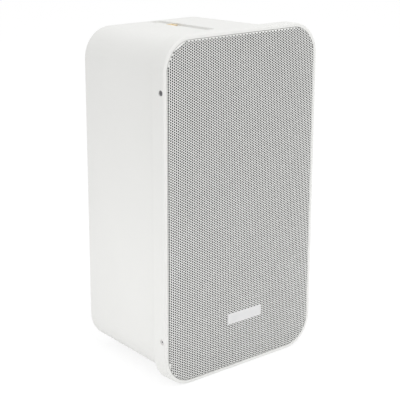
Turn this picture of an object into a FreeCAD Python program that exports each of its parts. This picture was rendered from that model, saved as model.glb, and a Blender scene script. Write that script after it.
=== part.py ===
import FreeCAD, Part
import math
import os
import re
import Sketcher

# A wall and column loudspeaker: a moulded tub, a front frame with its baffle, a bowed perforated grille,
# a woofer, a tweeter, the crossover, the rear terminals and two bracket inserts.
# +Z is up, the grille faces -Y, and the origin is at the middle of the box's underside.

SIZES = {
    # front frame and baffle
    "frame_width": 162.0,
    "frame_height": 280.0,
    "frame_depth": 13.4,
    "frame_corner": 26.5,
    "frame_wall": 3.0,
    "frame_round": 1.2,
    "baffle_thickness": 4.0,
    # grille, cloth and plate
    "grille_gap": 0.4,
    "grille_sheet": 0.6,
    "grille_recess": 0.6,
    "grille_bow": 1.4,
    "grille_roll": 1.5,
    "hole_width": 11.7,
    "hole_side_margin": 4.2,
    "hole_end_margin": 13.75,
    "cloth_thickness": 0.5,
    "cloth_gap": 0.1,
    "cloth_margin": 1.0,
    "badge_width": 37.0,
    "badge_height": 9.3,
    "badge_shift": 2.4,
    "badge_thickness": 0.9,
    "badge_gap": 0.05,
    "badge_drop": 95.3,
    "badge_round": 0.6,
    # screws that hold the grille from the frame's sides
    "side_screw_rise": 99.0,
    "side_screw_inset": 3.6,
    "side_screw_width": 2.6,
    "side_screw_length": 7.0,
    "side_head_width": 4.2,
    "side_head_thickness": 1.0,
    "side_head_sink": 0.8,
    "hole_clearance": 0.2,
    # tub
    "cabinet_step": 4.4,
    "cabinet_depth": 117.0,
    "cabinet_rear_width": 137.8,
    "cabinet_rear_height": 270.2,
    "cabinet_corner": 25.0,
    "cabinet_wall": 3.0,
    "rear_round": 3.0,
    "gasket_thickness": 1.0,
    "boss_side_inset": 7.1,
    "boss_end_inset": 23.6,
    "boss_width": 9.0,
    "boss_length": 24.0,
    "cabinet_screw_width": 3.0,
    "cabinet_screw_length": 16.0,
    "cabinet_head_width": 6.4,
    "cabinet_head_thickness": 2.0,
    # bracket channel and threaded inserts, top and bottom
    "channel_width": 12.0,
    "channel_depth": 1.5,
    "channel_round": 3.0,
    "channel_front": 40.0,
    "channel_rear": 6.0,
    "channel_pad_width": 22.0,
    "channel_pad_thickness": 4.0,
    "insert_back": 88.0,
    "insert_width": 8.0,
    "insert_length": 12.0,
    "insert_boss_width": 15.0,
    "collar_width": 9.6,
    "collar_rise": 1.2,
    "thread_width": 4.2,
    "insert_clearance": 0.02,
    # woofer
    "woofer_drop": 48.0,
    "woofer_radius": 65.0,
    "woofer_opening": 54.0,
    "woofer_gasket_inner": 56.0,
    "woofer_gasket_thickness": 2.0,
    "woofer_screw_inset": 4.5,
    "driver_screw_width": 3.0,
    "driver_screw_length": 6.0,
    "driver_head_width": 6.0,
    "driver_head_thickness": 2.2,
    "basket_sheet": 1.2,
    "basket_mouth": 50.0,
    "basket_neck": 38.0,
    "basket_shelf": 30.0,
    "basket_shelf_depth": 20.0,
    "basket_cup_depth": 10.0,
    "basket_bore": 12.0,
    "window_half_width": 11.0,
    "pole_radius": 9.7,
    "coil_inner": 10.0,
    "coil_former": 0.3,
    "coil_winding": 0.2,
    "coil_gap": 0.4,
    "coil_overhang": 1.5,
    "coil_tail": 2.0,
    "coil_reach": 0.75,
    "top_plate_radius": 36.0,
    "top_plate_thickness": 5.0,
    "magnet_radius": 39.0,
    "magnet_bore": 13.5,
    "magnet_thickness": 12.0,
    "yoke_thickness": 5.0,
    "cone_radius": 43.0,
    "cone_lip": 3.0,
    "cone_neck": 10.6,
    "cone_depth": 18.0,
    "cone_paper": 0.7,
    "cap_radius": 14.0,
    "cap_height": 4.5,
    "cap_wall": 0.5,
    "cap_gap": 0.2,
    "roll_radius": 4.0,
    "roll_wall": 0.6,
    "roll_shift": 0.24,
    "surround_rim": 4.8,
    "spider_wall": 0.6,
    "spider_rim": 5.0,
    "spider_wave": 1.2,
    "spider_inner": 10.9,
    # tweeter
    "tweeter_rise": 62.0,
    "tweeter_radius": 34.0,
    "tweeter_opening": 20.0,
    "tweeter_flare": 3.5,
    "tweeter_plate_thickness": 3.0,
    "tweeter_plate_bore": 13.6,
    "tweeter_screw_inset": 5.0,
    "dome_radius": 12.2,
    "dome_height": 4.6,
    "dome_wall": 0.35,
    "dome_base": 2.5,
    "dome_coil_length": 5.0,
    "dome_gap": 0.35,
    "dome_roll_radius": 17.0,
    "dome_roll_wall": 0.4,
    "tweeter_seat": 24.0,
    "tweeter_motor_radius": 22.0,
    "tweeter_top_thickness": 3.0,
    "tweeter_magnet_bore": 13.6,
    "tweeter_magnet_thickness": 6.0,
    "tweeter_yoke_thickness": 3.0,
    # crossover
    "board_rise": 62.0,
    "board_width": 74.0,
    "board_height": 52.0,
    "board_thickness": 1.6,
    "standoff_height": 6.0,
    "standoff_width": 7.0,
    "standoff_inset": 5.0,
    "board_screw_width": 2.5,
    "board_screw_length": 5.6,
    "board_head_width": 5.0,
    "board_head_thickness": 1.6,
    "capacitor_width": 15.0,
    "capacitor_length": 32.0,
    "inductor_width": 28.0,
    "inductor_bore": 10.0,
    "inductor_height": 14.0,
    "resistor_length": 24.0,
    "resistor_width": 9.0,
    "part_gap": 3.0,
    # terminals
    "terminal_drop": 48.0,
    "terminal_width": 46.0,
    "terminal_height": 32.0,
    "terminal_rim": 8.0,
    "terminal_rim_thickness": 2.0,
    "terminal_cup_depth": 16.0,
    "terminal_wall": 2.0,
    "terminal_clearance": 0.3,
    "post_spacing": 19.0,
    "post_width": 4.0,
    "post_head_width": 9.0,
    "post_head_length": 9.0,
    "post_tail": 7.0,
    "terminal_screw_width": 2.6,
    "terminal_screw_length": 6.0,
    "terminal_head_width": 5.0,
    "terminal_head_thickness": 1.4,
    "terminal_screw_inset": 4.0,
    # damping pad
    "pad_width": 112.0,
    "pad_height": 54.0,
    "pad_thickness": 14.0,
    "pad_rise": 3.0,
}

# Lengths that several pieces share, as formulas of the sizes above, measured from the frame's front edge
BAFFLE_FRONT = "(frame_depth - baffle_thickness)"
GRILLE_WIDTH = "(frame_width - 2 * frame_wall - 2 * grille_gap)"
GRILLE_HEIGHT = "(frame_height - 2 * frame_wall - 2 * grille_gap)"
GRILLE_CORNER = "(frame_corner - frame_wall - grille_gap)"
BOW_RADIUS = f"({GRILLE_WIDTH} ^ 2 / 8 / grille_bow + grille_bow / 2)"
CROWN = "(grille_recess - grille_bow)"
BADGE_FRONT = f"({CROWN} - badge_gap - badge_thickness)"
FIELD_WIDTH = f"({GRILLE_WIDTH} - 2 * hole_side_margin - hole_width)"
FIELD_HEIGHT = f"({GRILLE_HEIGHT} - 2 * hole_end_margin - hole_width)"
CABINET_FRONT = "(frame_depth + gasket_thickness)"
CABINET_WIDTH = "(frame_width - 2 * cabinet_step)"
CABINET_HEIGHT = "(frame_height - 2 * cabinet_step)"
CABINET_FLOOR = "(cabinet_depth - cabinet_wall)"
TERMINAL_BACK = "(cabinet_depth + terminal_rim_thickness)"
REARMOST = f"({TERMINAL_BACK} + terminal_head_thickness)"
MIDDLE = f"(-({REARMOST} + {BADGE_FRONT}) / 2)"
CHANNEL_FLOOR = "(cabinet_rear_height / 2 - channel_depth)"
# along a driver's axis, from the baffle's rear face
FLANGE = "woofer_gasket_thickness"
SHELF = f"({FLANGE} + basket_shelf_depth)"
BASKET_END = f"({SHELF} + basket_cup_depth + basket_sheet)"
MAGNET_START = f"({BASKET_END} + top_plate_thickness)"
MAGNET_END = f"({MAGNET_START} + magnet_thickness)"
COIL_OUTER = "(coil_inner + coil_former)"
CAP_BASE = f"({FLANGE} + (cone_radius - cap_radius) * cone_depth / (cone_radius - cone_neck) - cap_gap)"
ROLL_CENTRE = "((basket_mouth + cone_radius) / 2 + roll_shift)"
TWEETER_TOP = "(tweeter_plate_thickness + dome_roll_wall)"
TWEETER_MAGNET = f"({TWEETER_TOP} + tweeter_top_thickness)"
TWEETER_YOKE = f"({TWEETER_MAGNET} + tweeter_magnet_thickness)"
BOARD_FRONT = f"({CABINET_FLOOR} - standoff_height - board_thickness)"
CUP_FLOOR = "(cabinet_depth - terminal_cup_depth)"

DIAGONAL = "0.70711"
COLUMNS = 5
ROWS = 13
WAVES = 4
WINDOWS = 6
NAME = re.compile(r"[a-z]\w+")

doc = FreeCAD.newDocument("wall_speaker")
sheet = doc.addObject("Spreadsheet::Sheet", "Sizes")
for row, (name, size) in enumerate(SIZES.items(), start=1):
    sheet.set(f"A{row}", name)
    sheet.set(f"B{row}", str(size))
    sheet.setAlias(f"B{row}", name)
doc.recompute()


def formula(text):
    return NAME.sub(lambda found: "Sizes." + found.group(), text)


def value(text):
    numbers = NAME.sub(lambda found: str(sheet.get(found.group())), text)
    return FreeCAD.Units.parseQuantity(numbers).Value


def make_body(label, back="0", rise="0", driver=False):
    """A body whose own origin lies in the frame's front plane, or on a driver's axis with z to the rear."""
    body = doc.addObject("PartDesign::Body", label)
    body.Label = label
    body.AllowCompound = True
    if driver:
        body.Placement.Rotation = FreeCAD.Rotation(FreeCAD.Vector(1, 0, 0), -90)
    body.setExpression("Placement.Base.y", formula(f"{MIDDLE} + {back}"))
    body.setExpression("Placement.Base.z", formula(f"frame_height / 2 + {rise}"))
    return body


def origin_part(body, role):
    return next(part for part in body.Origin.OriginFeatures if part.Role == role)


def make_sketch(body, role, along="0", right="0", up="0"):
    sketch = body.newObject("Sketcher::SketchObject", "Sketch")
    sketch.AttachmentSupport = [(origin_part(body, role), "")]
    sketch.MapMode = "FlatFace"
    sketch.setExpression("AttachmentOffset.Base.x", formula(right))
    sketch.setExpression("AttachmentOffset.Base.y", formula(up))
    sketch.setExpression("AttachmentOffset.Base.z", formula(along))
    return sketch


def front_sketch(body, back="0", right="0", up="0"):
    """A sketch seen from the front, some way behind the frame's front plane."""
    return make_sketch(body, "XZ_Plane", f"-({back})", right, up)


def bind_constraints(sketch, entries):
    indices = sketch.addConstraint([constraint for constraint, text in entries])
    for index, (constraint, text) in zip(indices, entries):
        if text:
            sketch.setExpression(f"Constraints[{index}]", formula(text))


def pin(geometry, point, axis, text):
    """One coordinate of a sketch point, held at a formula's value."""
    number = value(text)
    if number == 0:
        line = -2 if axis == "X" else -1
        return Sketcher.Constraint("PointOnObject", geometry, point, line), None
    if number > 0:
        return Sketcher.Constraint("Distance" + axis, -1, 1, geometry, point, number), text
    return Sketcher.Constraint("Distance" + axis, geometry, point, -1, 1, -number), f"-({text})"


def draw_outline(sketch, corners, bends=None):
    """A closed outline. A bend at a corner is an arc to the next one: its middle and its pinned centre."""
    bends = bends or {}
    points = [FreeCAD.Vector(value(x), value(y), 0) for x, y in corners]
    count = len(corners)
    entries = []
    for index, (x, y) in enumerate(corners):
        start = points[index]
        end = points[(index + 1) % count]
        first = 1
        if index in bends:
            middle_x, middle_y, axis, text = bends[index]
            middle = FreeCAD.Vector(value(middle_x), value(middle_y), 0)
            anticlockwise = (middle - start).cross(end - middle).z > 0
            first = 1 if anticlockwise else 2
            ends_in_order = (start, middle, end) if anticlockwise else (end, middle, start)
            geometry = sketch.addGeometry(Part.ArcOfCircle(*ends_in_order))
            entries.append(pin(geometry, 3, axis, text))
        else:
            geometry = sketch.addGeometry(Part.LineSegment(start, end))
        entries.append((geometry, first, x, y))
    ends = [entry for entry in entries if len(entry) == 4]
    entries = [entry for entry in entries if len(entry) == 2]
    for index, (geometry, first, x, y) in enumerate(ends):
        before, before_first = ends[index - 1][:2]
        entries.append((Sketcher.Constraint("Coincident", before, 3 - before_first, geometry, first), None))
        entries.append(pin(geometry, first, "X", x))
        entries.append(pin(geometry, first, "Y", y))
    bind_constraints(sketch, entries)


def draw_rectangle(sketch, width, height):
    low, left = f"-{height} / 2", f"-{width} / 2"
    high, right = f"{height} / 2", f"{width} / 2"
    draw_outline(sketch, [(left, low), (right, low), (right, high), (left, high)])


def draw_rounded(sketch, width, height, radius):
    """A rectangle with round corners, drawn anticlockwise from the lower side."""
    corners = []
    bends = {}
    turns = [(1, -1), (1, 1), (-1, 1), (-1, -1)]
    for turn, (right, up) in enumerate(turns):
        centre_x = f"{right} * ({width} / 2 - {radius})"
        centre_y = f"{up} * ({height} / 2 - {radius})"
        side = (f"{right} * {width} / 2", centre_y)
        end = (centre_x, f"{up} * {height} / 2")
        corners += [end, side] if turn % 2 == 0 else [side, end]
        middle_x = f"{centre_x} + {right} * {radius} * {DIAGONAL}"
        middle_y = f"{centre_y} + {up} * {radius} * {DIAGONAL}"
        bends[2 * turn] = (middle_x, middle_y, "X", centre_x)
    draw_outline(sketch, corners, bends)


def draw_circles(sketch, radius, spots):
    entries = []
    for x, y in spots:
        circle = Part.Circle(FreeCAD.Vector(value(x), value(y), 0), FreeCAD.Vector(0, 0, 1), value(radius))
        geometry = sketch.addGeometry(circle)
        entries.append(pin(geometry, 3, "X", x))
        entries.append(pin(geometry, 3, "Y", y))
        entries.append((Sketcher.Constraint("Radius", geometry, value(radius)), radius))
    bind_constraints(sketch, entries)


def make_pad(body, sketch, length, reverse=True):
    pad = body.newObject("PartDesign::Pad", "Pad")
    pad.Profile = sketch
    pad.Reversed = reverse
    pad.setExpression("Length", formula(length))
    doc.recompute()
    return pad


def make_pocket(body, sketch, length=None, reverse=False):
    """A cut to a depth, or right through both ways. It must take material away."""
    before = body.Shape.Volume
    pocket = body.newObject("PartDesign::Pocket", "Pocket")
    pocket.Profile = sketch
    pocket.Reversed = reverse
    if length:
        pocket.setExpression("Length", formula(length))
    else:
        pocket.Type = "ThroughAll"
        pocket.SideType = "Symmetric"
    doc.recompute()
    if body.Shape.Volume > before - 0.01:
        raise RuntimeError(f"{body.Label}: {pocket.Name} cuts nothing")
    return pocket


def revolve(body, corners, bends=None):
    """A turned shape: corners are radius and axial place."""
    sketch = make_sketch(body, "XZ_Plane")
    draw_outline(sketch, corners, bends)
    turned = body.newObject("PartDesign::Revolution", "Revolution")
    turned.Profile = sketch
    turned.ReferenceAxis = (sketch, ["V_Axis"])
    turned.Angle = 360
    doc.recompute()
    return turned


def cap_bend(radius, crown, height):
    """The arc of a shallow cap between its crown and its edge, centred on the axis."""
    return f"{radius} * 0.54", f"{crown} + {height} * 0.28", "X", "0"


def make_ring(label, inner, outer, start, length, rise):
    body = make_body(label, "frame_depth", rise, driver=True)
    end = f"{start} + {length}"
    revolve(body, [(inner, start), (outer, start), (outer, end), (inner, end)])
    return body


def round_edges(body, radius, wanted):
    """A fillet on the edges of the body's newest feature for which wanted(edge) holds."""
    base = body.Tip
    names = [f"Edge{i}" for i, edge in enumerate(base.Shape.Edges, start=1) if wanted(edge)]
    fillet = body.newObject("PartDesign::Fillet", "Fillet")
    fillet.Base = (base, names)
    fillet.setExpression("Radius", formula(radius))
    doc.recompute()
    return fillet


def hollow(body, wall, back):
    """Turn the body into a shell of this wall, open at its flat face this far back."""
    base = body.Tip
    at_mouth = lies_at(back)
    mouth = [f"Face{i}" for i, face in enumerate(base.Shape.Faces, start=1) if at_mouth(face)]
    shell = body.newObject("PartDesign::Thickness", "Thickness")
    shell.Base = (base, mouth)
    shell.setExpression("Value", formula(wall))
    shell.Reversed = True
    shell.Join = 0
    doc.recompute()
    return shell


def mirror(body, features, role):
    copy = body.newObject("PartDesign::Mirrored", "Mirrored")
    copy.Originals = features
    copy.MirrorPlane = (origin_part(body, role), [""])
    body.Tip = copy
    doc.recompute()
    return copy


def repeat_through(body, feature, role, length, count, other_role, other_length, other_count):
    """A rectangular pattern of a feature, along two of the body's axes."""
    pattern = body.newObject("PartDesign::LinearPattern", "LinearPattern")
    pattern.Originals = [feature]
    pattern.Direction = (origin_part(body, role), [""])
    pattern.setExpression("Length", formula(length))
    pattern.Occurrences = count
    pattern.Direction2 = (origin_part(body, other_role), [""])
    pattern.setExpression("Length2", formula(other_length))
    pattern.Occurrences2 = other_count
    body.Tip = pattern
    doc.recompute()
    return pattern


def polar(body, feature, count):
    pattern = body.newObject("PartDesign::PolarPattern", "PolarPattern")
    pattern.Originals = [feature]
    pattern.Axis = (origin_part(body, "Z_Axis"), [""])
    pattern.Angle = 360
    pattern.Occurrences = count
    body.Tip = pattern
    doc.recompute()
    return pattern


def runs_back(edge):
    """True for a straight edge that runs mostly from front to rear."""
    ends = edge.Vertexes
    if len(ends) < 2:
        return False
    step = ends[1].Point - ends[0].Point
    return abs(step.y) > 0.9 * step.Length


def lies_at(back):
    """A test for edges that lie wholly in the plane this far behind the frame's front."""
    def test(edge):
        box = edge.BoundBox
        return abs(box.YMin - back) < 0.001 and abs(box.YMax - back) < 0.001
    return test


def corner_spots(x, y, middle=False):
    spots = [(f"-{x}", f"-{y}"), (x, f"-{y}"), (x, y), (f"-{x}", y)]
    if middle:
        spots += [(x, "0"), (f"-{x}", "0")]
    return spots


def screw_group(label, spots, back, head_width, head_thickness, width, length, forward=False, rise="0"):
    """Screws with pan heads: the head's underside is at back, and the shank runs to the rear or forward."""
    body = make_body(label, "0", rise)
    head = front_sketch(body, back)
    draw_circles(head, f"{head_width} / 2", spots)
    make_pad(body, head, head_thickness, reverse=forward)
    shank = front_sketch(body, back)
    draw_circles(shank, f"{width} / 2", spots)
    make_pad(body, shank, length, reverse=not forward)
    return body


CABINET_SPOTS = corner_spots(f"({CABINET_WIDTH} / 2 - boss_side_inset)",
                             f"({CABINET_HEIGHT} / 2 - boss_end_inset)", middle=True)
WOOFER_DIAGONAL = f"((woofer_radius - woofer_screw_inset) * {DIAGONAL})"
WOOFER_SPOTS = corner_spots(WOOFER_DIAGONAL, WOOFER_DIAGONAL)
TWEETER_DIAGONAL = f"((tweeter_radius - tweeter_screw_inset) * {DIAGONAL})"
TWEETER_SPOTS = corner_spots(TWEETER_DIAGONAL, TWEETER_DIAGONAL)
BOARD_SPOTS = corner_spots("(board_width / 2 - standoff_inset)", "(board_height / 2 - standoff_inset)")
TERMINAL_SPOTS = corner_spots("(terminal_width / 2 + terminal_rim - terminal_screw_inset)",
                              "(terminal_height / 2 + terminal_rim - terminal_screw_inset)")
POST_SPOTS = [("-post_spacing / 2", "0"), ("post_spacing / 2", "0")]
SIDE_SPOTS = [("side_screw_inset", "side_screw_rise"), ("side_screw_inset", "-side_screw_rise")]


def add_holes(body, spots, width, back, depth=None, rise="0", forward=False):
    sketch = front_sketch(body, back, "0", rise)
    draw_circles(sketch, f"{width} / 2", spots)
    return make_pocket(body, sketch, depth, reverse=forward)


def make_front_frame():
    """One moulding: the frame's rim and, set back in it, the baffle with the drivers' openings."""
    body = make_body("front_frame")
    block = front_sketch(body)
    draw_rounded(block, "frame_width", "frame_height", "frame_corner")
    make_pad(body, block, "frame_depth")
    round_edges(body, "frame_round", lies_at(0))
    tray = front_sketch(body)
    draw_rounded(tray, "(frame_width - 2 * frame_wall)", "(frame_height - 2 * frame_wall)",
                 "(frame_corner - frame_wall)")
    make_pocket(body, tray, BAFFLE_FRONT)
    woofer = front_sketch(body, up="-woofer_drop")
    draw_circles(woofer, "woofer_opening", [("0", "0")])
    make_pocket(body, woofer)
    tweeter = front_sketch(body, up="tweeter_rise")
    draw_circles(tweeter, "tweeter_opening", [("0", "0")])
    make_pocket(body, tweeter)
    on_baffle = lies_at(value(BAFFLE_FRONT))
    reach = value("tweeter_opening")
    base = body.Tip
    rim = [f"Edge{i}" for i, edge in enumerate(base.Shape.Edges, start=1)
           if on_baffle(edge) and abs(edge.Length - 2 * math.pi * reach) < 0.01]
    flare = body.newObject("PartDesign::Chamfer", "Chamfer")
    flare.Base = (base, rim)
    flare.setExpression("Size", formula("tweeter_flare"))
    doc.recompute()
    clear = " + 2 * hole_clearance)"
    add_holes(body, CABINET_SPOTS, "(cabinet_screw_width" + clear, "0")
    pilot = "(driver_screw_width + hole_clearance)"
    depth = "driver_screw_length - woofer_gasket_thickness - basket_sheet + hole_clearance"
    add_holes(body, WOOFER_SPOTS, pilot, "frame_depth", depth, "-woofer_drop", forward=True)
    depth = "driver_screw_length - tweeter_plate_thickness + hole_clearance"
    add_holes(body, TWEETER_SPOTS, pilot, "frame_depth", depth, "tweeter_rise", forward=True)
    sink = make_sketch(body, "YZ_Plane", "frame_width / 2")
    draw_circles(sink, "(side_head_width / 2 + hole_clearance)", SIDE_SPOTS)
    sinks = make_pocket(body, sink, "side_head_sink")
    mirror(body, [sinks], "YZ_Plane")
    shank = make_sketch(body, "YZ_Plane")
    draw_circles(shank, "(side_screw_width / 2 + hole_clearance)", SIDE_SPOTS)
    make_pocket(body, shank)
    return body


def add_hole_field(body, shift):
    """Round holes in columns and rows. A second field, shifted inwards by half a step, staggers them."""
    columns = COLUMNS - shift
    rows = ROWS - shift
    width = f"({FIELD_WIDTH} * {columns - 1} / {COLUMNS - 1})"
    height = f"({FIELD_HEIGHT} * {rows - 1} / {ROWS - 1})"
    first = front_sketch(body)
    draw_circles(first, "hole_width / 2", [(f"-{width} / 2", f"-{height} / 2")])
    return repeat_through(body, make_pocket(body, first), "X_Axis", width, columns, "Z_Axis", height, rows)


def make_grille():
    """A drawn sheet pan, bowed across its width, with a staggered field of round holes."""
    body = make_body("grille")
    plan = make_sketch(body, "XY_Plane", f"-{GRILLE_HEIGHT} / 2")
    side = f"{GRILLE_WIDTH} / 2"
    corners = [(f"-{side}", "grille_recess"), (side, "grille_recess"), (side, BAFFLE_FRONT),
               (f"-{side}", BAFFLE_FRONT)]
    draw_outline(plan, corners, {0: ("0", CROWN, "Y", f"{CROWN} + {BOW_RADIUS}")})
    make_pad(body, plan, GRILLE_HEIGHT, reverse=False)
    round_edges(body, GRILLE_CORNER, runs_back)
    seat = value("grille_recess + grille_roll")
    round_edges(body, "grille_roll", lambda edge: edge.BoundBox.YMax < seat)
    hollow(body, "grille_sheet", value(BAFFLE_FRONT))
    add_hole_field(body, 0)
    add_hole_field(body, 1)
    screw_holes = make_sketch(body, "YZ_Plane")
    draw_circles(screw_holes, "(side_screw_width / 2 + hole_clearance)", SIDE_SPOTS)
    make_pocket(body, screw_holes)
    return body


def make_grille_cloth():
    """Thin cloth bonded behind the grille's holes, with the same bow."""
    body = make_body("grille_cloth")
    margin = "(grille_sheet + cloth_margin)"
    width = f"({GRILLE_WIDTH} - 2 * {margin})"
    height = f"({GRILLE_HEIGHT} - 2 * {margin})"
    plan = make_sketch(body, "XY_Plane", f"-{height} / 2")
    side = f"({width} / 2)"
    front = "(grille_sheet + cloth_gap)"
    rear = "(grille_sheet + cloth_gap + cloth_thickness)"
    sag = f"({side} ^ 2 / 2 / {BOW_RADIUS})"
    edge = f"{CROWN} + {sag}"
    corners = [(f"-{side}", f"{edge} + {front}"), (side, f"{edge} + {front}"),
               (side, f"{edge} + {rear}"), (f"-{side}", f"{edge} + {rear}")]
    centre = f"{CROWN} + {BOW_RADIUS}"
    bends = {0: ("0", f"{CROWN} + {front}", "Y", centre), 2: ("0", f"{CROWN} + {rear}", "Y", centre)}
    draw_outline(plan, corners, bends)
    make_pad(body, plan, height, reverse=False)
    trim = front_sketch(body)
    draw_rectangle(trim, f"({width} + {margin})", f"({height} + {margin})")
    draw_rounded(trim, width, height, f"({GRILLE_CORNER} - {margin})")
    make_pocket(body, trim)
    return body


def make_badge_plate():
    body = make_body("badge_plate", rise="-badge_drop")
    plate = front_sketch(body, BADGE_FRONT, "badge_shift")
    draw_rectangle(plate, "badge_width", "badge_height")
    make_pad(body, plate, "badge_thickness")
    round_edges(body, "badge_round", runs_back)
    return body


def make_side_screws():
    body = make_body("side_screws")
    seat = "frame_width / 2 - side_head_sink"
    head = make_sketch(body, "YZ_Plane", seat)
    draw_circles(head, "side_head_width / 2", SIDE_SPOTS)
    heads = make_pad(body, head, "side_head_thickness", reverse=False)
    shank = make_sketch(body, "YZ_Plane", seat)
    draw_circles(shank, "side_screw_width / 2", SIDE_SPOTS)
    shanks = make_pad(body, shank, "side_screw_length", reverse=True)
    mirror(body, [heads, shanks], "YZ_Plane")
    return body


def make_rear_cabinet():
    """The moulded tub: sides drawn in towards the rear, screw bosses, bracket channels and standoffs."""
    body = make_body("rear_cabinet")
    block = body.newObject("PartDesign::AdditiveWedge", "Wedge")
    faces = {"Xmax": f"{CABINET_WIDTH} / 2", "Zmax": f"{CABINET_HEIGHT} / 2",
             "X2max": "cabinet_rear_width / 2", "Z2max": "cabinet_rear_height / 2"}
    for name, reach in faces.items():
        block.setExpression(name, formula(reach))
        block.setExpression(name.replace("max", "min"), formula(f"-({reach})"))
    block.setExpression("Ymin", formula(CABINET_FRONT))
    block.setExpression("Ymax", formula("cabinet_depth"))
    doc.recompute()
    round_edges(body, "cabinet_corner", runs_back)
    hollow(body, "cabinet_wall", value(CABINET_FRONT))
    round_edges(body, "rear_round", lies_at(value("cabinet_depth")))
    bosses = front_sketch(body, CABINET_FRONT)
    draw_circles(bosses, "boss_width / 2", CABINET_SPOTS)
    make_pad(body, bosses, "boss_length")
    pilots = front_sketch(body, CABINET_FRONT)
    draw_circles(pilots, "(cabinet_screw_width + hole_clearance) / 2", CABINET_SPOTS)
    make_pocket(body, pilots, "cabinet_screw_length")
    standoffs = front_sketch(body, CABINET_FLOOR, "0", "board_rise")
    draw_circles(standoffs, "standoff_width / 2", BOARD_SPOTS)
    make_pad(body, standoffs, "standoff_height", reverse=False)
    add_holes(body, BOARD_SPOTS, "(board_screw_width + hole_clearance)", f"{CABINET_FLOOR} - standoff_height",
              "board_screw_length - board_thickness + hole_clearance", "board_rise")
    # a thick strip under the channel, then the channel itself, its boss and the insert's seat
    strip_front = "(channel_front - channel_pad_thickness)"
    strip_length = f"({CABINET_FLOOR} - {strip_front})"
    strip_foot = "(cabinet_rear_height / 2 - cabinet_wall - channel_pad_thickness)"
    strip = make_sketch(body, "XY_Plane", strip_foot, "0", f"{strip_front} + {strip_length} / 2")
    draw_rectangle(strip, "channel_pad_width", strip_length)
    strips = make_pad(body, strip, "channel_pad_thickness + cabinet_wall / 2", reverse=False)
    boss = make_sketch(body, "XY_Plane", strip_foot, "0", "insert_back")
    draw_circles(boss, "insert_boss_width / 2", [("0", "0")])
    boss_length = "(insert_length + channel_depth - channel_pad_thickness)"
    insert_bosses = make_pad(body, boss, boss_length, reverse=True)
    mirror(body, [strips, insert_bosses], "XY_Plane")
    channel_length = "(cabinet_depth - channel_front - channel_rear)"
    channel = make_sketch(body, "XY_Plane", "cabinet_rear_height / 2 + channel_depth", "0",
                          f"channel_front + {channel_length} / 2")
    draw_rounded(channel, "channel_width", channel_length, "channel_round")
    channels = make_pocket(body, channel, "2 * channel_depth")
    seat = make_sketch(body, "XY_Plane", CHANNEL_FLOOR, "0", "insert_back")
    draw_circles(seat, "(insert_width / 2 + insert_clearance)", [("0", "0")])
    seats = make_pocket(body, seat, "insert_length + hole_clearance")
    mirror(body, [channels, seats], "XY_Plane")
    opening = front_sketch(body, "cabinet_depth", "0", "-terminal_drop")
    draw_rectangle(opening, "terminal_width", "terminal_height")
    make_pocket(body, opening, "cabinet_wall * 2", reverse=True)
    add_holes(body, TERMINAL_SPOTS, "(terminal_screw_width + hole_clearance)", "cabinet_depth",
              "cabinet_wall * 2", "-terminal_drop", forward=True)
    return body


def make_cabinet_gasket():
    body = make_body("cabinet_gasket")
    block = front_sketch(body, "frame_depth")
    draw_rounded(block, CABINET_WIDTH, CABINET_HEIGHT, "cabinet_corner")
    make_pad(body, block, "gasket_thickness")
    hole = front_sketch(body, "frame_depth")
    draw_rounded(hole, f"({CABINET_WIDTH} - 2 * cabinet_wall)", f"({CABINET_HEIGHT} - 2 * cabinet_wall)",
                 "(cabinet_corner - cabinet_wall)")
    make_pocket(body, hole, "gasket_thickness")
    return body


def make_insert(label, way):
    """A brass threaded insert with a collar that stands up in the bracket channel."""
    body = make_body(label, "insert_back")
    floor = CHANNEL_FLOOR
    foot = f"({floor} - insert_length)"
    top = f"({floor} + collar_rise)"
    inner, outer, collar = "thread_width / 2", "insert_width / 2", "collar_width / 2"
    places = [(inner, foot), (outer, foot), (outer, floor), (collar, floor), (collar, top), (inner, top)]
    revolve(body, [(x, f"{way} * {z}") for x, z in places])
    return body


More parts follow.
